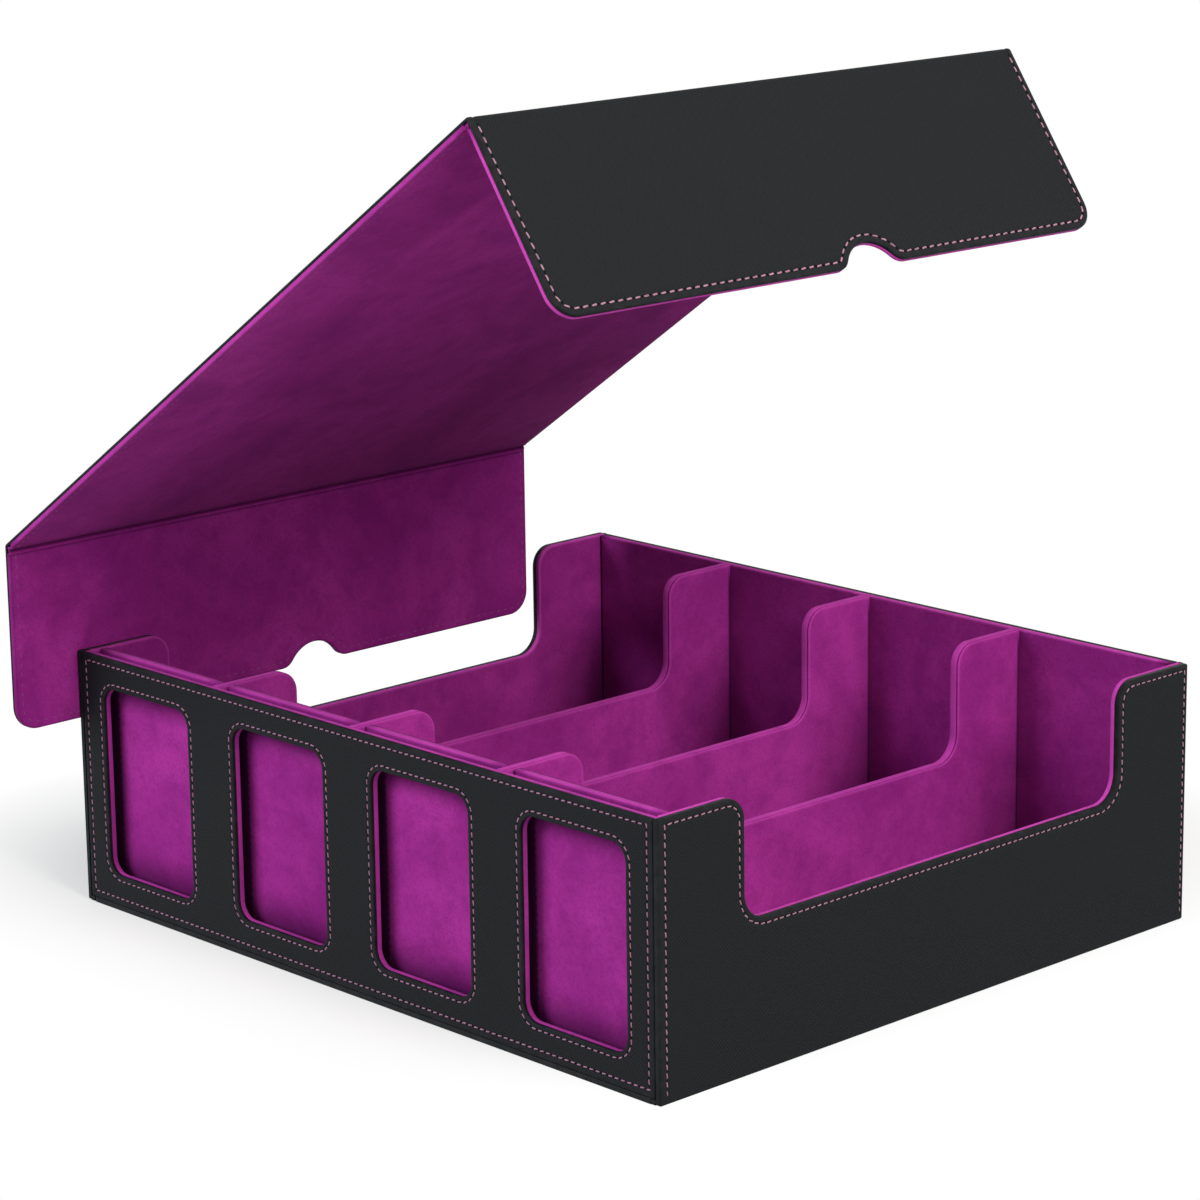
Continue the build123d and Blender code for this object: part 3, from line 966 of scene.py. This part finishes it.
def lid_section():
    """Closed section (Y, depth, edge) from front to back over a lid panel's leather, and back inside it."""
    steps = face_profile(lid_turn, lid_stitch_inset)
    front = [(lid_ends(inset)[0], depth + groove, edge) for inset, depth, groove, edge in steps]
    back = [(lid_ends(inset)[1], depth + groove, edge) for inset, depth, groove, edge in steps]
    start, end = front[-1][0], back[-1][0]
    count = round((end - start) / fill_step)
    middle = [(start + (end - start) * part / count, 0.0, 0.0) for part in range(1, count)]
    near, far = lid_ends(skin)
    within = [(far, lid_turn, 0), (far, skin, 0), (near, skin, 0), (near, lid_turn, 0)]
    return front + middle + back[::-1] + within


def swept(name, fold, rings, material):
    """Tube through rings of points (offset, Y, flat place, edge) round a fold's axis."""
    sheet = Sheet(fold, RIGHT, BACK, UP)
    sheet.tube([[sheet.put(off.x, y, off.z, flat, edge) for off, y, flat, edge in ring] for ring in rings])
    return sheet.object(name, material)


def fold_mesh(name, fold, stations):
    """Leather of the lid's section swept round a fold."""
    section = lid_section()
    rings, run, before = [], 0.0, None
    for offset, out in stations:
        spine = offset + out * (lid_thick / 2)
        run += (spine - before).length if before else 0.0
        before = spine
        rings.append([
            (offset + out * (lid_thick / 2 - depth), y, (run, y), edge) for y, depth, edge in section
        ])
    return swept(name, fold, rings, LEATHER)


def crease_outline(first_way, first_in, second_way, second_in):
    """Closed outline, round a fold's axis, of the suede that joins two linings: (offset, edge). Its flanks
    and bottom are darkened, a painted shade in the fold.
    """
    half, lap = lid_thick / 2, crease_reach + crease_lap
    halfway = (first_way + second_way).normalized()
    run = half / sqrt(1 - halfway.dot(first_way) ** 2)
    valley = run * halfway.dot(first_way)
    flank = valley + crease_flank_share * (crease_reach - valley)
    sides = [
        [
            (way * lap + into * (half - skin + crease_tuck), 0.0),
            (way * lap + into * (half - crease_lift), 0.0),
            (way * crease_reach + into * (half + crease_lift), 0.0),
            (way * flank + into * half, crease_flank_shade),
        ]
        for way, into in ((first_way, first_in), (second_way, second_in))
    ]
    bottom, root = (halfway * (run - crease_dip), -1.0), (halfway * -crease_root, 0.0)
    return sides[0] + [bottom] + sides[1][::-1] + [root]


def crease_mesh(name, fold, outline):
    """Suede along a fold, rounded off at its two ends."""
    middle = sum((offset for offset, _ in outline), Vector()) / len(outline)
    count = round(lid_depth / fill_step)
    ends = [(-lid_depth / 2 + inset, share) for inset, share in crease_ends]
    lines = ends + [((part / count - 0.5) * lid_depth, 1.0) for part in range(1, count)]
    lines += [(-y, share) for y, share in reversed(ends)]
    rings = [
        [(middle + (offset - middle) * share, y, None, edge) for offset, edge in outline]
        for y, share in lines
    ]
    return swept(name, fold, rings, SUEDE)


for name, fold, bodies, first, second in (
    ("left_fold", left_fold, ("left_flap", "lid_top"), (DOWN, -RIGHT), (top_way, -top_inwards)),
    ("right_fold", right_fold, ("lid_top", "right_flap"), (-top_way, -top_inwards), (top_inwards, top_way)),
):
    leather = fold_mesh(f"{name}_leather", fold, bend_stations(*first, *second))
    start, end = ((fold + way * crease_start) * MM for way in (first[0], second[0]))
    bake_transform(leather)
    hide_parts(f"{name}_strip")

    suede = crease_mesh(f"{name}_suede", fold, crease_outline(first[0], -first[1], second[0], -second[1]))
    start, end = ((fold + way * crease_reach - out * (lid_thick / 2)) * MM for way, out in (first, second))
    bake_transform(suede)


# Floor, light and camera
def looked_at(tree):
    """1 for rays from the camera, also by way of gloss or glass, and 0 for the light's other bounces."""
    path = add(tree, "ShaderNodeLightPath")
    seen = sums(tree, "MAXIMUM", path.outputs["Is Camera Ray"], path.outputs["Is Glossy Ray"])
    return sums(tree, "MAXIMUM", seen, path.outputs["Is Transmission Ray"])


def floor_material():
    """White floor that keeps the shadow near the object and is plain white to the camera further off."""
    material, tree, shader = blank("floor")

    def vectors(operation, *operands):
        return add(tree, "ShaderNodeVectorMath", dict(enumerate(operands)), operation=operation).outputs

    left, back = -half_width * MM, half_depth * MM
    centre = ((left + shadow_right) / 2, (shadow_front + back) / 2, 0)
    core = ((shadow_right - left) / 2, (back - shadow_front) / 2, 0)
    off = vectors("ABSOLUTE", vectors("SUBTRACT", in_space(tree), centre)[0])[0]
    past = vectors("MAXIMUM", vectors("SUBTRACT", off, core)[0], (0, 0, 0))[0]
    away = spread(tree, vectors("LENGTH", past)["Value"], (fade_from, fade_to))
    feed(tree, shader, {"Base Color": floor_colour, "Roughness": 0.9, "Specular IOR Level": 0.0})
    glow = add(tree, "ShaderNodeEmission", {"Color": white, "Strength": floor_glow}).outputs[0]
    shaded = add(tree, "ShaderNodeAddShader", {0: shader.outputs[0], 1: glow}).outputs[0]
    plain = add(tree, "ShaderNodeEmission", {"Color": white, "Strength": 1.0}).outputs[0]
    seen = add(tree, "ShaderNodeMixShader", {0: away, 1: shaded, 2: plain}).outputs[0]
    bounce = add(tree, "ShaderNodeBsdfDiffuse", {"Color": bounce_colour}).outputs[0]
    whole = add(tree, "ShaderNodeMixShader", {0: looked_at(tree), 1: bounce, 2: seen}).outputs[0]
    feed(tree, tree.nodes["Material Output"], {"Surface": whole})
    return material


floor_mesh = bpy.data.meshes.new("floor")
floor_corners = [(x * floor_half, y * floor_half, 0) for x, y in ((-1, -1), (1, -1), (1, 1), (-1, 1))]
floor_mesh.from_pydata(floor_corners, [], [(0, 1, 2, 3)])
floor_mesh.materials.append(floor_material())
placed("floor", floor_mesh)

world = bpy.data.worlds.new("studio")
scene.world = world
world.use_nodes = True
tree = world.node_tree
tree.nodes.clear()
studio = add(tree, "ShaderNodeBackground", {"Color": white, "Strength": studio_light}).outputs[0]
backdrop = add(tree, "ShaderNodeBackground", {"Color": white, "Strength": 1.0}).outputs[0]
whole = add(tree, "ShaderNodeMixShader", {0: looked_at(tree), 1: studio, 2: backdrop}).outputs[0]
add(tree, "ShaderNodeOutputWorld", {"Surface": whole})


def softbox(name, place, size, power, colour=(1.0, 1.0, 1.0)):
    """Square area lamp that points at the box."""
    data = bpy.data.lights.new(name, "AREA")
    data.shape, data.size, data.energy, data.color = "SQUARE", size, power, colour
    lamp = placed(name, data)
    lamp.location = place
    lamp.rotation_mode = "QUATERNION"
    lamp.rotation_quaternion = (Vector(middle_of_box) - Vector(place)).to_track_quat("-Z", "Y")


softbox("key", place=(1.70, -0.15, 1.30), size=1.0, power=51, colour=(1.0, 0.965, 0.90))
softbox("fill", place=(-0.9, -1.95, 1.0), size=1.2, power=50, colour=(0.93, 0.965, 1.0))
softbox("top", place=(0.2, 0.2, 2.2), size=1.6, power=7)

camera_data = bpy.data.cameras.new("camera")
camera_data.sensor_width, camera_data.lens = 36.0, 120.47
camera_data.clip_start, camera_data.clip_end = 0.05, 50.0
camera = placed("camera", camera_data)
facing = Matrix.Translation(camera_place)
for angle, axis in ((camera_turn, "Z"), (pi / 2 - camera_rise, "X"), (camera_roll, "Z")):
    facing = facing @ Matrix.Rotation(angle, 4, axis)
camera.matrix_world = facing
scene.camera = camera
scene.view_settings.view_transform = "Standard"
